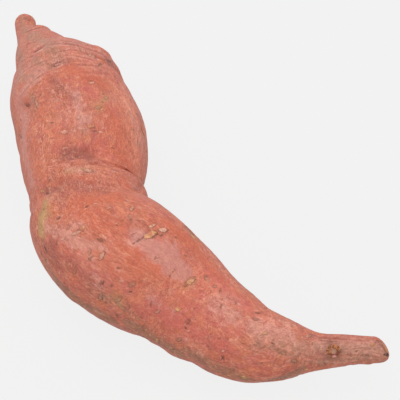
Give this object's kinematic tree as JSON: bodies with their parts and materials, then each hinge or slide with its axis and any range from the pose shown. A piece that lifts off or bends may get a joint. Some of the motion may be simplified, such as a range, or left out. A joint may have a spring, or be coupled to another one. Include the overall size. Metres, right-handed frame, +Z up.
{
  "type": "sweet potato",
  "caption": "Whole raw sweet potato: a long, bowed root swollen in two bulbs with a creased waist, a knobbed stem end and a thin tail. Lies on its side as food.",
  "frame": {"origin": "centre of the bounding box's base, on the surface that the root lies on", "axes": "+X from the stem end to the root tip, +Z up, +Y on the inner side of the root's bow"},
  "size_m": [0.2252, 0.078, 0.0497],
  "materials": {
    "potato_skin": "matte salmon-red root skin, finely netted, with pale and brown rootlet scars"
  },
  "bodies": {
    "root": {"sweet_potato": "potato_skin"}
  },
  "joints": []
}
